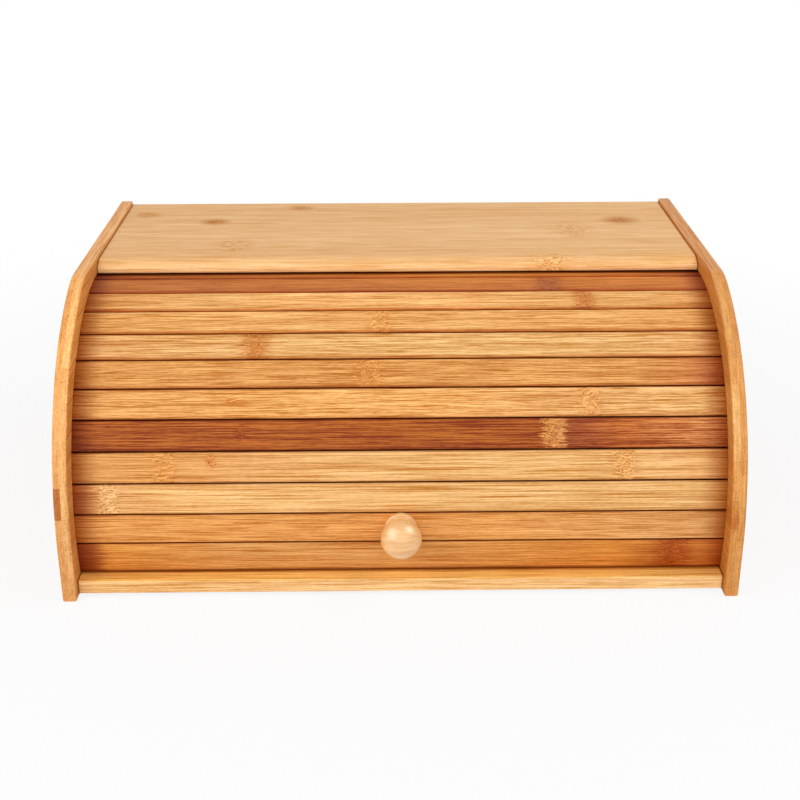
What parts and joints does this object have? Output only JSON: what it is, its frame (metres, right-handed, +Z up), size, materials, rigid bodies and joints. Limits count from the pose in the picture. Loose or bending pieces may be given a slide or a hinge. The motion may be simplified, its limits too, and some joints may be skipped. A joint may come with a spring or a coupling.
{
  "type": "roll-top bread box",
  "caption": "Bamboo bread box with a curved tambour door of horizontal slats that rolls up under the top board, turned knob, and plain side panels that form the feet.",
  "frame": {"origin": "centre of the whole part's box in plan, on the surface that the side panels stand on; the plan box runs from the knob's tip to the sides' rear edge", "axes": "+Z up, +X to the right of someone facing the door, -Y out of the front, where the door and its knob are"},
  "size_m": [0.4, 0.2882, 0.168],
  "materials": {
    "bamboo_side": "clear lacquered bamboo laminate, satin",
    "bamboo_board": "clear lacquered bamboo, satin",
    "bamboo_pale": "clear lacquered bamboo, pale strip",
    "bamboo_light": "clear lacquered bamboo, light strip",
    "bamboo_amber": "clear lacquered bamboo, amber strip",
    "bamboo_dark": "clear lacquered bamboo, dark carbonised strip",
    "knob_wood": "turned pale hardwood, semi-gloss lacquer",
    "canvas": "plain woven cotton, natural",
    "screw_steel": "zinc plated"
  },
  "bodies": {
    "carcass": {"side_left": "bamboo_side", "side_right": "bamboo_side", "top_board": "bamboo_board", "base_board": "bamboo_board", "back_panel": "bamboo_board", "top_board_screws": "screw_steel", "base_board_screws": "screw_steel", "back_panel_screws": "screw_steel"},
    "door": {"slat_01": "bamboo_amber", "slat_02": "bamboo_amber", "slat_03": "bamboo_pale", "slat_04": "bamboo_light", "slat_05": "bamboo_dark", "slat_06": "bamboo_light", "slat_07": "bamboo_amber", "slat_08": "bamboo_light", "slat_09": "bamboo_light", "slat_10": "bamboo_light", "slat_11": "bamboo_dark", "slat_12": "bamboo_amber", "slat_13": "bamboo_light", "canvas_backing": "canvas", "knob": "knob_wood", "knob_screw": "screw_steel"}
  },
  "joints": [
    {"name": "door_roll", "type": "hinge", "parent": "carcass", "child": "door", "pos_m": [0, 0.00424, 0.0352], "axis": [-1, 0, 0], "range_deg": [0, 82]}
  ]
}
